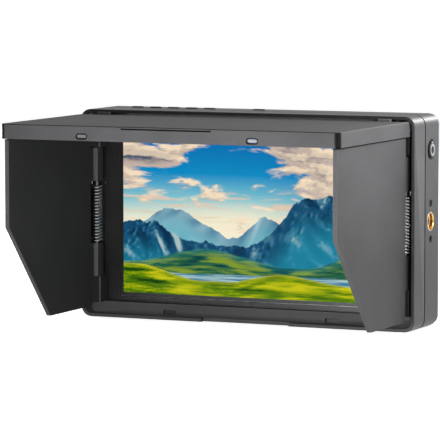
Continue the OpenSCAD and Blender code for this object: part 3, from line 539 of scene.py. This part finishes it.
def thread(bm, centre, axis, bore, depth, pitch, length):
    """Adds one internal screw thread: a ridge wound along the bore."""
    sides = 32
    ridge = bmesh.new()
    across = Vector(axis).orthogonal().normalized()
    start = Vector(centre) + Vector(axis) * pitch * 0.5 * MM
    shape = ((bore + 0.04, -0.40 * pitch), (bore - depth, -0.08 * pitch),
             (bore - depth, 0.08 * pitch), (bore + 0.04, 0.40 * pitch))
    points = [ridge.verts.new(start + across * r * MM + Vector(axis) * h * MM) for r, h in shape]
    face = ridge.faces.new(points)
    turns = (length - pitch) / pitch
    bmesh.ops.spin(ridge, geom=[face] + list(face.edges) + points, cent=centre, axis=axis,
                   dvec=Vector(axis) * pitch * MM / sides, angle=math.tau * turns,
                   steps=round(sides * turns), use_merge=False)
    bmesh.ops.recalc_face_normals(ridge, faces=ridge.faces)
    join(bm, ridge)


def bar(bm, low, high, radius, material=0):
    """Adds a bar between two corners, in metres, with its edges eased."""
    part = bmesh.new()
    made = bmesh.ops.create_cube(part, size=1.0)
    size = Vector(high) - Vector(low)
    bmesh.ops.scale(part, vec=size, verts=made["verts"])
    bmesh.ops.translate(part, vec=(Vector(low) + Vector(high)) / 2, verts=made["verts"])
    ease(part, list(part.edges), radius, 2)
    for face in part.faces:
        face.material_index = material
    join(bm, part)


def join(bm, other):
    """Adds another bmesh's shape to this one."""
    mesh = bpy.data.meshes.new("part")
    other.to_mesh(mesh)
    other.free()
    bm.from_mesh(mesh)
    bpy.data.meshes.remove(mesh)


class FinishColours(bpy.types.PropertyGroup):
    """Colours and roughness of the plastics and metals."""

    casing: bpy.props.FloatVectorProperty(
        name="Casing", description="Moulded casing", subtype="COLOR", default=(0.045, 0.045, 0.047),
        size=3, min=0.0, max=1.0)
    hood: bpy.props.FloatVectorProperty(
        name="Hood", description="Outside of the lid and flaps", subtype="COLOR",
        default=(0.050, 0.050, 0.052), size=3, min=0.0, max=1.0)
    # Inside of the hood: matt black, and darker than the outside partly as painted shade
    inside: bpy.props.FloatVectorProperty(
        name="Lining", description="Dead matt inside of the hood", subtype="COLOR",
        default=(0.013, 0.013, 0.0135), size=3, min=0.0, max=1.0)
    # Near-black painted shade for the flat faces of the hinge recesses, where shade falls
    pocket: bpy.props.FloatVectorProperty(
        name="Pockets", description="Recesses at the flap hinges", subtype="COLOR",
        default=(0.010, 0.010, 0.011), size=3, min=0.0, max=1.0)
    brass: bpy.props.FloatVectorProperty(
        name="Brass", description="Tripod inserts", subtype="COLOR", default=(0.55, 0.33, 0.12),
        size=3, min=0.0, max=1.0)
    steel: bpy.props.FloatVectorProperty(
        name="Steel", description="Pins, springs and plated shells", subtype="COLOR",
        default=(0.62, 0.62, 0.63), size=3, min=0.0, max=1.0)
    button: bpy.props.FloatVectorProperty(
        name="Button", description="Power button", subtype="COLOR", default=(0.34, 0.34, 0.35),
        size=3, min=0.0, max=1.0)
    flange: bpy.props.FloatVectorProperty(
        name="Flange", description="Rims of the tripod inserts", subtype="COLOR",
        default=(0.36, 0.31, 0.24), size=3, min=0.0, max=1.0)
    roughness: bpy.props.FloatProperty(
        name="Roughness", description="Roughness of the moulded casing", default=0.46, min=0.1, max=1.0)
    hood_roughness: bpy.props.FloatProperty(
        name="Hood roughness", description="Roughness of the hood's outside", default=0.62,
        min=0.1, max=1.0)


class EdgeSizes(bpy.types.PropertyGroup):
    """How far the edges are eased."""

    casing: bpy.props.FloatProperty(
        name="Casing", description="Rounding of the frame's and housing's edges",
        default=0.35 * MM, unit="LENGTH")
    hood: bpy.props.FloatProperty(
        name="Hood", description="Rounding of the lid's and flaps' edges", default=0.3 * MM,
        unit="LENGTH")
    # Height of the flaps' top strip painted black: painted shadow under the lid's lip
    seal: bpy.props.FloatProperty(
        name="Flap shadow strip", description="Height of the black strip on the flaps' top edge",
        default=0.5 * MM, unit="LENGTH")
    blocks: bpy.props.FloatProperty(
        name="Pin blocks", description="Rounding of the blocks that hold the flap pins",
        default=0.5 * MM, unit="LENGTH")
    holes: bpy.props.FloatProperty(
        name="Holes", description="Rounding round the holes", default=0.2 * MM, unit="LENGTH")


class StudioSizes(bpy.types.PropertyGroup):
    """Camera and lights."""

    place: bpy.props.FloatVectorProperty(
        name="Camera", description="Place of the camera", subtype="TRANSLATION", unit="LENGTH",
        default=(0.5552, -1.2973, 0.1692), size=3)
    yaw: bpy.props.FloatProperty(
        name="Yaw", description="Turn of the camera to the left", subtype="ANGLE",
        default=math.radians(23.903))
    pitch: bpy.props.FloatProperty(
        name="Pitch", description="How far the camera looks down", subtype="ANGLE",
        default=math.radians(5.114))
    roll: bpy.props.FloatProperty(
        name="Roll", description="Tilt of the camera about its view", subtype="ANGLE",
        default=math.radians(-0.034))
    lens: bpy.props.FloatProperty(
        name="Lens", description="Focal length in millimetres on a 36 mm wide picture", default=270.0)
    side_light: bpy.props.FloatProperty(
        name="Side light", description="Power of the strip light on the right, in watts", default=0.20)
    front_light: bpy.props.FloatProperty(
        name="Front light", description="Power of the low light in front, in watts", default=0.46)
    near_light: bpy.props.FloatProperty(
        name="Near light", description="Power of the second low light in front, in watts", default=0.28)
    back_light: bpy.props.FloatProperty(
        name="Back light", description="Power of the light behind on the right, in watts", default=5.0)
    fill_light: bpy.props.FloatProperty(
        name="Fill light", description="Power of the low, wide light on the left, in watts",
        default=2.2)
    ambient: bpy.props.FloatProperty(
        name="Ambient", description="Brightness of the room on matt surfaces", default=0.17)


class MONITOR_OT_casing(bpy.types.Operator):
    """Front frame, rear housing and the seam between them"""

    bl_idname = "monitor.casing"
    bl_label = "Casing"

    def execute(self, context):
        colours = context.scene.monitor_colours
        edges = context.scene.monitor_edges
        finish = moulded("casing_plastic", bare(colours.casing), colours.roughness, 0.22 * MM,
                         0.02 * MM)
        # Near-black painted shade for the flat faces in the hinge recesses
        black = lining("pocket_painted_shade", bare(colours.pocket))
        bm = merged("front_frame")
        ease_on(bm, 1, FRAME_LOW.y, edges.casing, 3)
        ease_on(bm, 1, FRAME_HIGH.y, edges.holes, 2, self.at_lower_corner)
        ease(bm, [e for e in sharp_edges(bm) if self.on_block(e)], edges.blocks, 2)
        # Faces behind the glass take the printed border; flat faces in the hinge recesses take painted
        # shade
        for part in bm.faces:
            part.material_index = 2 if self.behind_glass(part) else 1 if self.in_pocket(part) else 0
        finish_piece("frame_front", bm, "casing",
                     [finish, black, printed_border("border_ink")], ["front_frame"])
        bm = merged("rear_housing")
        for side in (-1, 1):
            ease_on(bm, 0, side * HALF_WIDTH, edges.holes, 2, self.in_side)
        ease_on(bm, 2, CASING_LOW.z, edges.holes, 2, self.in_side)
        ease_on(bm, 2, CASING_HIGH.z, edges.holes, 2, self.in_side)
        ease_on(bm, 1, CASING_HIGH.y, edges.holes, 2)
        finish_piece("housing_rear", bm, "casing", [finish], ["rear_housing"])
        paint(["seam_gasket"], rubbery("seam_rubber", (0.012, 0.012, 0.012)))
        return {"FINISHED"}

    @staticmethod
    def at_lower_corner(edge):
        """Edges at the two lower corners."""
        reach = 4.6 * MM
        return max(abs(v.co.x) for v in edge.verts) > HALF_WIDTH - reach \
            and max(v.co.z for v in edge.verts) < reach

    @staticmethod
    def behind_glass(face):
        """The ledge under the cover glass, which shows through it as the printed border."""
        return face.normal.y < -0.9 and abs(face.calc_center_median().y - GLASS_HIGH.y) < 0.1 * MM

    @staticmethod
    def on_block(edge):
        """Upright outer edges of the blocks that hold the flap pins."""
        first, second = (v.co for v in edge.verts)
        return abs(first.x - second.x) < SLACK and abs(first.y - second.y) < SLACK \
            and GLASS_HIGH.x - 3 * MM < abs(first.x) < HALF_WIDTH - 2.5 * MM \
            and FRAME_LOW.y + 1 * MM < first.y < GLASS_LOW.y - 3 * MM

    @staticmethod
    def in_pocket(face):
        """Flat faces of the two hinge recesses, but for eased edges and the blocks' outer sides: these
        take near-black painted shade.
        """
        middle = face.calc_center_median()
        return abs(middle.x) > GLASS_HIGH.x - 2.5 * MM and middle.y > FRAME_LOW.y + 0.6 * MM \
            and abs(middle.x) < HALF_WIDTH - 1 * MM and max(abs(n) for n in face.normal) > 0.999 \
            and face.normal.x * middle.x < 0.01 * MM

    @staticmethod
    def in_side(edge):
        """Holes in a side, away from the rounded edges."""
        low, high = CASING_LOW.y + 1 * MM, CASING_HIGH.y - 2.6 * MM
        return all(low < v.co.y < high for v in edge.verts)


class MONITOR_OT_hood(bpy.types.Operator):
    """Lid and flaps of the sun hood, with their matt lining, whose darkness is partly painted shade"""

    bl_idname = "monitor.hood"
    bl_label = "Sun hood"

    def execute(self, context):
        colours = context.scene.monitor_colours
        edges = context.scene.monitor_edges
        outside = moulded("hood_plastic", bare(colours.hood), colours.hood_roughness, 0.3 * MM,
                          0.03 * MM)
        # Inside of the lid and flaps: matt lining, darker partly as painted shade
        inside = lining("hood_lining_and_shade", bare(colours.inside))
        # Near-black: painted dark reflection on the lid's front corners, painted shadow on its front
        # edge, notch band and magnet openings
        corner = moulded("black_painted_reflection_and_shade", (0.004, 0.004, 0.004), 0.3, 0.3 * MM, 0.004 * MM, 0.1, 0.1)
        low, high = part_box("lid_cover")
        bm = merged("lid_cover")
        self.line(bm, low, high)
        ease_on(bm, 2, high.z, edges.hood, 3)
        ease_on(bm, 1, low.y, edges.holes, 2, lambda e: min(v.co.z for v in e.verts) < high.z - 2 * MM)
        for face in bm.faces:
            # The eased front edge of the plate is painted black: a painted shadow line
            if face.normal.z > 0.2 and face.normal.y < -0.2:
                face.material_index = 2
        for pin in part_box("lid_pins"):
            self.lug(bm, math.copysign(abs(pin.x) - 4.4 * MM, pin.x), high.z)
        # Lighter plastic on the lugs: painted light on faces that the lamps don't reach past the lid
        pale = moulded("lug_painted_light", (0.13, 0.13, 0.134), 0.5, 0.3 * MM, 0.01 * MM)
        finish_piece("hood_lid", bm, "lid", [outside, inside, corner, pale], ["lid_cover"])
        for side, node in ((-1, "left_flap"), (1, "right_flap")):
            low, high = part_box(node)
            bm = merged(node)
            # Above this line each flap is painted black: painted shadow under the lid's lip
            seal = high.z - edges.seal
            bmesh.ops.bisect_plane(bm, geom=bm.verts[:] + bm.edges[:] + bm.faces[:], dist=0.001 * MM,
                                   plane_co=(0, 0, seal), plane_no=(0, 0, 1))
            for face in bm.faces:
                inner = face.normal.x * side < -0.5 or face.calc_center_median().z > seal
                face.material_index = 1 if inner else 0
            outer = high.x if side > 0 else low.x
            ease_on(bm, 0, outer, edges.hood, 2, lambda e: max(v.co.y for v in e.verts) < FRAME_LOW.y)
            finish_piece("hood_" + node, bm, node, [outside, inside], [node])
        return {"FINISHED"}

    @staticmethod
    def line(bm, low, high):
        """Matt lining on the lid's inner sides, darker partly as painted shade; black on its front
        corners as a painted dark reflection, and on the band under the front notch and round the magnet
        openings as painted shadow.
        """
        centre = (low + high) / 2
        wall, plate, corner = 1.2 * MM, 1.3 * MM, 2.25 * MM
        slit_half, magnet_half, window_half = 20.2 * MM, 2.25 * MM, 2.7 * MM
        magnets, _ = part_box("lid_magnets")
        for face in bm.faces:
            m, n = face.calc_center_median(), face.normal
            under = n.z < -0.5
            inner = m.z < high.z - plate - 0.1 * MM and abs(n.z) < 0.3 and n.dot(
                Vector((centre.x - m.x, centre.y - m.y, 0.0))) > 0
            # Bands painted black as shadow: under the front notch, and round the magnet openings
            slit_shadow = low.y + 0.1 * MM < m.y < low.y + 3 * MM and abs(m.x) < slit_half \
                and high.z - plate - 0.05 * MM < m.z < high.z - plate + 0.55 * MM
            window = low.y + 0.05 * MM < m.y < low.y + wall - 0.05 * MM \
                and abs(abs(m.x) - abs(magnets.x) + magnet_half) < window_half \
                and m.z < high.z - 2.5 * MM
            # Rounded front corners painted black: a painted dark reflection
            dark_reflection_corner = m.y < low.y + corner and abs(m.x) > high.x - corner and abs(n.z) < 0.3
            face.material_index = 1 if under or inner else 2 if dark_reflection_corner or slit_shadow or window else 0

    @staticmethod
    def lug(bm, x, top):
        """Raised lug on the lid's rear edge, over a hinge tab, in a lighter plastic that is painted
        light.
        """
        rear = FRAME_LOW.y - 2.1 * MM
        low = (x - 3 * MM, rear - 1.1 * MM, top - 0.8 * MM)
        high = (x + 3 * MM, rear, top + 1.05 * MM)
        bar(bm, low, high, 0.25 * MM, 3)


class MONITOR_OT_screen(bpy.types.Operator):
    """Cover glass, its black border and the lit picture"""

    bl_idname = "monitor.screen"
    bl_label = "Screen"

    def execute(self, context):
        picture = context.scene.monitor_picture
        glass = merged("cover_glass")
        ease(glass, sharp_edges(glass), 0.15 * MM, 2)
        finish_piece("screen_glass", glass, "casing", [cover_glass_finish("coated_glass")],
                     ["cover_glass"])
        panel = merged("display_panel")
        front = min(panel.faces, key=lambda f: f.calc_center_median().y)
        bmesh.ops.inset_region(panel, faces=[front],
                               thickness=(PANEL_HIGH.x - PANEL_LOW.x - picture.width) / 2)
        for face in panel.faces:
            face.material_index = 0
        front = min((f for f in panel.faces if f.normal.y < -0.9), key=lambda f: abs(
            f.calc_center_median().x) + abs(f.calc_center_median().z - MIDDLE_Z))
        front.material_index = 1
        for vert in panel.verts:
            vert.co.y += 0.05 * MM if vert.co.y < PANEL_LOW.y + 0.1 * MM else 0.0
        finish_piece("screen_panel", panel, "casing",
                     [printed_border("panel_edge"), landscape(picture)], ["display_panel"])
        return {"FINISHED"}


class MONITOR_OT_fittings(bpy.types.Operator):
    """Pins, springs, sockets, boards and screws, which keep their CAD shape and get a finish"""

    bl_idname = "monitor.fittings"
    bl_label = "Fittings"

    def execute(self, context):
        colours = context.scene.monitor_colours
        steel = metal("bright_steel", bare(colours.steel), 0.36, "z")
        plated = metal("plated_shell", bare(colours.steel), 0.28, "x")
        dark = metal("dark_nickel", (0.03, 0.03, 0.031), 0.5, "z")
        blackened = metal("blackened_steel", (0.035, 0.035, 0.036), 0.38, "z")
        wire = metal("spring_wire", (0.30, 0.30, 0.31), 0.24, "z")
        brass = metal("contact_brass", bare(colours.brass), 0.3, "x")
        black = moulded("black_moulding", (0.03, 0.03, 0.032), 0.4, 0.2 * MM, 0.012 * MM)
        zinc = metal("black_zinc", (0.05, 0.05, 0.052), 0.4, "y")
        paint(["lid_pins", "board_screws"], steel)
        paint(["left_flap_pin", "right_flap_pin"], blackened)
        paint(["left_flap_spring", "right_flap_spring"], wire)
        paint(["lid_magnets"], metal("magnet_nickel", (0.13, 0.13, 0.134), 0.5, "x"))
        paint(["frame_magnets"], dark)
        paint(["housing_screws", "plate_screws"], zinc)
        paint(["video_in_socket", "video_out_socket", "service_port", "display_tray"], plated)
        paint(["heatsink"], metal("black_anodising", (0.04, 0.04, 0.042), 0.5, "z"))
        paint(["battery_contacts"], brass)
        paint(["dc_jack", "headphone_jack", "power_switch"], black)
        paint(["key_mat"], rubbery("key_rubber", (0.06, 0.06, 0.06)))
        paint(["main_board", "key_board"], board_paint("solder_mask"))
        paint(["display_ribbon"], film("amber_film", (0.5, 0.3, 0.08)))
        paint(["backlight_unit"], frosted("diffuser_white", (0.85, 0.85, 0.83)))
        self.contacts(brass)
        return {"FINISHED"}

    @staticmethod
    def contacts(brass):
        """Contact fingers on the tongues of the two video sockets."""
        bm = bmesh.new()
        for node in ("video_in_socket", "video_out_socket"):
            low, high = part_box(node)
            middle = (low + high) / 2
            for step in range(10):
                z = middle.z + (step - 4.5) * 1.05 * MM
                for face in (-1, 1):
                    y = middle.y + face * 0.6 * MM
                    bar(bm, (low.x + 1.9 * MM, y - 0.04 * MM, z - 0.26 * MM),
                        (low.x + 7.5 * MM, y + 0.04 * MM, z + 0.26 * MM), 0.02 * MM)
        finish_piece("video_contacts", bm, "casing", [brass])


class MONITOR_OT_controls(bpy.types.Operator):
    """Power button with its seal, and the row of keys"""

    bl_idname = "monitor.controls"
    bl_label = "Controls"

    def execute(self, context):
        colours = context.scene.monitor_colours
        low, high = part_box("power_button")
        centre = Vector((0.0, (low.y + high.y) / 2, (low.z + high.z) / 2))
        tip, face = low.x / MM, high.x / MM
        body = face - 2.3
        shape = ((0, face - 0.35), (0.9, face - 0.35), (1.3, face - 0.3), (1.6, face - 0.12),
                 (1.75, face - 0.1), (2.5, face - 0.02), (2.65, face), (3.1, face - 0.12),
                 (3.4, face - 0.35), (3.4, body), (1.2, body), (1.2, tip + 0.2), (1.0, tip), (0, tip))
        bm = turned(shape, centre, (1, 0, 0), 72)
        for part in bm.faces:
            away = part.calc_center_median() - centre
            reach = away.yz.length
            bright = 1.45 * MM < reach < 2.7 * MM and away.x > (face - 0.6) * MM
            part.material_index = 0 if bright else 1
        silver = metal("button_nickel", bare(colours.button), 0.34, "x", 1800.0, 0.003)
        mark = moulded("button_mark", (0.012, 0.012, 0.013), 0.4, 0.2 * MM, 0.004 * MM)
        finish_piece("power_key", bm, "power_button", [silver, mark], ["power_button"])
        low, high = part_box("power_ring")
        outer, top = (high.z - low.z) / 2 / MM, high.x / MM
        bottom = low.x / MM
        seal = turned(((3.5, bottom), (3.5, top - 0.3), (3.62, top - 0.18), (3.85, top - 0.2),
                       (4.0, top), (outer - 0.12, top), (outer, top - 0.12), (outer, bottom)),
                      centre, (1, 0, 0), 72)
        rubber = rubbery("seal_rubber", (0.008, 0.008, 0.008))
        finish_piece("power_seal", seal, "casing", [rubber], ["power_ring"])
        satin = moulded("key_plastic", bare(colours.casing), 0.42, 0.2 * MM, 0.01 * MM)
        for number in range(1, 7):
            node = "top_key_%d" % number
            _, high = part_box(node)
            bm = merged(node)
            ease_on(bm, 2, high.z, 0.35 * MM, 4)
            finish_piece("key_top_%d" % number, bm, "key_%d" % number, [satin], [node])
        return {"FINISHED"}


class MONITOR_OT_inserts(bpy.types.Operator):
    """Brass tripod inserts with their screw threads"""

    bl_idname = "monitor.inserts"
    bl_label = "Tripod inserts"

    # Radii, length, thread depth and pitch in millimetres
    BORE, OUTER, LENGTH = 3.175, 4.0, 7.0
    DEPTH, PITCH = 0.55, 1.27

    def execute(self, context):
        colours = context.scene.monitor_colours
        brass = metal("turned_brass", bare(colours.brass), 0.26, "x")
        flange = metal("flange_nickel", bare(colours.flange), 0.3, "x")
        for node, axis in (("insert_right", (1, 0, 0)), ("insert_left", (-1, 0, 0)),
                           ("insert_bottom", (0, 0, -1))):
            low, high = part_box(node)
            outwards = Vector(axis)
            middle = (low + high) / 2
            mouth = middle + outwards * self.LENGTH / 2 * MM
            inwards = -outwards
            shape = ((self.BORE, 0.55), (3.55, 0.0), (3.9, 0.0), (self.OUTER, 0.12),
                     (self.OUTER, self.LENGTH), (self.BORE, self.LENGTH))
            bm = turned(shape, mouth, inwards, 72)
            for face in bm.faces:
                away = face.calc_center_median() - mouth
                depth = away.dot(inwards)
                face.material_index = 1 if depth < 0.1 * MM else 0
            thread(bm, mouth + inwards * 0.5 * MM, inwards, self.BORE, self.DEPTH, self.PITCH,
                   self.LENGTH - 0.6)
            finish_piece("tripod_" + node, bm, "casing", [brass, flange], [node])
        return {"FINISHED"}


class MONITOR_OT_battery_mount(bpy.types.Operator):
    """Battery plate on the back, with its hooks and the ribbed release"""

    bl_idname = "monitor.battery_mount"
    bl_label = "Battery mount"

    def execute(self, context):
        black = moulded("plate_plastic", (0.026, 0.026, 0.028), 0.42, 0.25 * MM, 0.02 * MM)
        bm = merged("battery_plate")
        _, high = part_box("battery_plate")
        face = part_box("plate_screws")[1].y - 1.2 * MM
        ease_on(bm, 1, high.y, 0.25 * MM)
        ease_on(bm, 1, face, 0.2 * MM)
        finish_piece("battery_mount", bm, "casing", [black], ["battery_plate"])
        low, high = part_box("battery_release")
        bm = merged("battery_release")
        ease_on(bm, 1, high.y, 0.3 * MM)
        thumb_low, thumb_high = high.z - 1 * MM - 5 * MM, high.z - 1 * MM
        for step in range(4):
            z = thumb_low + (0.85 + 1.1 * step) * MM
            bar(bm, (low.x + 1.9 * MM, high.y - 0.1 * MM, z - 0.22 * MM),
                (high.x - 1.9 * MM, high.y + 0.25 * MM, min(z + 0.22 * MM, thumb_high)), 0.08 * MM)
        finish_piece("release_button", bm, "battery_release", [
            moulded("release_plastic", (0.05, 0.05, 0.052), 0.4, 0.2 * MM, 0.01 * MM, 0.6)],
            ["battery_release"])
        return {"FINISHED"}


class MONITOR_OT_stage(bpy.types.Operator):
    """Pale floor, soft lights, white surroundings and the camera"""

    bl_idname = "monitor.stage"
    bl_label = "Stage"

    # What the lamps point at, in metres
    HOOD_MIDDLE = Vector((0.03, -0.05, 0.06))
    HOOD_FRONT = Vector((0.03, -0.05, 0.05))
    RIGHT_SIDE = Vector((0.077, -0.03, 0.06))

    def execute(self, context):
        studio = context.scene.monitor_studio
        self.floor()
        self.surroundings(context.scene, studio.ambient)
        # Name, place, aim, width, height and power of each lamp
        for lamp in (
                ("side_strip", (0.14, -0.035, 0.110), self.RIGHT_SIDE, 0.16, 0.03, studio.side_light),
                ("front_softbox", (0.004, -0.277, 0.021), self.HOOD_MIDDLE, 0.06, 0.06,
                 studio.front_light),
                ("near_softbox", (0.05, -0.26, 0.03), self.HOOD_FRONT, 0.06, 0.06, studio.near_light),
                ("back_softbox", (0.20, 0.90, 0.36), self.HOOD_MIDDLE, 0.16, 0.16, studio.back_light),
                ("fill_softbox", (-0.40, 0.20, 0.035), self.HOOD_MIDDLE, 0.25, 0.10,
                 studio.fill_light)):
            self.lamp(*lamp)
        camera = bpy.data.cameras.new("view")
        camera.lens = studio.lens
        camera.sensor_width = 36.0
        camera.clip_start = 0.05
        camera.clip_end = 50.0
        holder = bpy.data.objects.new("view", camera)
        holder.location = studio.place
        holder.rotation_mode = "QUATERNION"
        forward = Vector((-math.sin(studio.yaw) * math.cos(studio.pitch),
                          math.cos(studio.yaw) * math.cos(studio.pitch), -math.sin(studio.pitch)))
        right = Vector((math.cos(studio.yaw), math.sin(studio.yaw), 0.0))
        up = right.cross(forward)
        tilt = Matrix.Rotation(studio.roll, 3, -forward)
        turn = Matrix((tilt @ right, tilt @ up, -forward)).transposed()
        holder.rotation_quaternion = turn.to_quaternion()
        context.scene.collection.objects.link(holder)
        context.scene.camera = holder
        context.scene.view_settings.view_transform = "Standard"
        return {"FINISHED"}

    @staticmethod
    def floor():
        bm = bmesh.new()
        bmesh.ops.create_grid(bm, x_segments=1, y_segments=1, size=6.0)
        mesh = bpy.data.meshes.new("floor")
        bm.to_mesh(mesh)
        bm.free()
        r = Recipe("pale_floor")
        r.set(base_color=(0.9, 0.9, 0.9, 1), roughness=0.9, specular_ior_level=0.1,
              emission_color=(1.0, 1.0, 1.0, 1), emission_strength=r.math(
                  "MULTIPLY", seen_rays(r.tree), FLOOR_GLOW))
        mesh.materials.append(r.material)
        floor = bpy.data.objects.new("floor", mesh)
        bpy.context.scene.collection.objects.link(floor)

    @staticmethod
    def surroundings(scene, ambient):
        world = bpy.data.worlds.new("studio")
        world.use_nodes = True
        tree = world.node_tree
        shine = tree.nodes["Background"]
        level = tree.nodes.new("ShaderNodeMapRange")
        tree.links.new(seen_rays(tree), level.inputs["Value"])
        level.inputs["To Min"].default_value = ambient
        level.inputs["To Max"].default_value = 1.0
        tree.links.new(level.outputs[0], shine.inputs["Strength"])
        shine.inputs["Color"].default_value = (1, 1, 1, 1)
        scene.world = world

    @staticmethod
    def lamp(name, place, aim, width, height, power):
        light = bpy.data.lights.new(name, "AREA")
        light.shape = "RECTANGLE"
        light.size = width
        light.size_y = height
        light.energy = power
        holder = bpy.data.objects.new(name, light)
        holder.location = place
        holder.rotation_mode = "QUATERNION"
        holder.rotation_quaternion = (aim - Vector(place)).to_track_quat("-Z", "Y")
        holder.visible_camera = False
        bpy.context.scene.collection.objects.link(holder)


class MONITOR_PT_panel(bpy.types.Panel):
    """Sidebar panel that lists the pieces."""

    bl_label = "Field Monitor"
    bl_idname = "MONITOR_PT_panel"
    bl_space_type = "VIEW_3D"
    bl_region_type = "UI"
    bl_category = "Field Monitor"

    def draw(self, context):
        for operator in OPERATORS:
            self.layout.operator(operator.bl_idname)


GROUPS = {
    "monitor_colours": FinishColours,
    "monitor_edges": EdgeSizes,
    "monitor_picture": PictureSizes,
    "monitor_studio": StudioSizes,
}
OPERATORS = (MONITOR_OT_casing, MONITOR_OT_hood, MONITOR_OT_screen, MONITOR_OT_controls,
             MONITOR_OT_inserts, MONITOR_OT_battery_mount, MONITOR_OT_fittings, MONITOR_OT_stage)


def register():
    for name, group in GROUPS.items():
        bpy.utils.register_class(group)
        setattr(bpy.types.Scene, name, bpy.props.PointerProperty(type=group))
    for operator in OPERATORS:
        bpy.utils.register_class(operator)
    bpy.utils.register_class(MONITOR_PT_panel)


def unregister():
    bpy.utils.unregister_class(MONITOR_PT_panel)
    for operator in reversed(OPERATORS):
        bpy.utils.unregister_class(operator)
    for name, group in GROUPS.items():
        delattr(bpy.types.Scene, name)
        bpy.utils.unregister_class(group)


def main():
    register()
    bpy.ops.monitor.casing()
    bpy.ops.monitor.hood()
    bpy.ops.monitor.screen()
    bpy.ops.monitor.controls()
    bpy.ops.monitor.inserts()
    bpy.ops.monitor.battery_mount()
    bpy.ops.monitor.fittings()
    bpy.ops.monitor.stage()


if __name__ == "__main__":
    main()
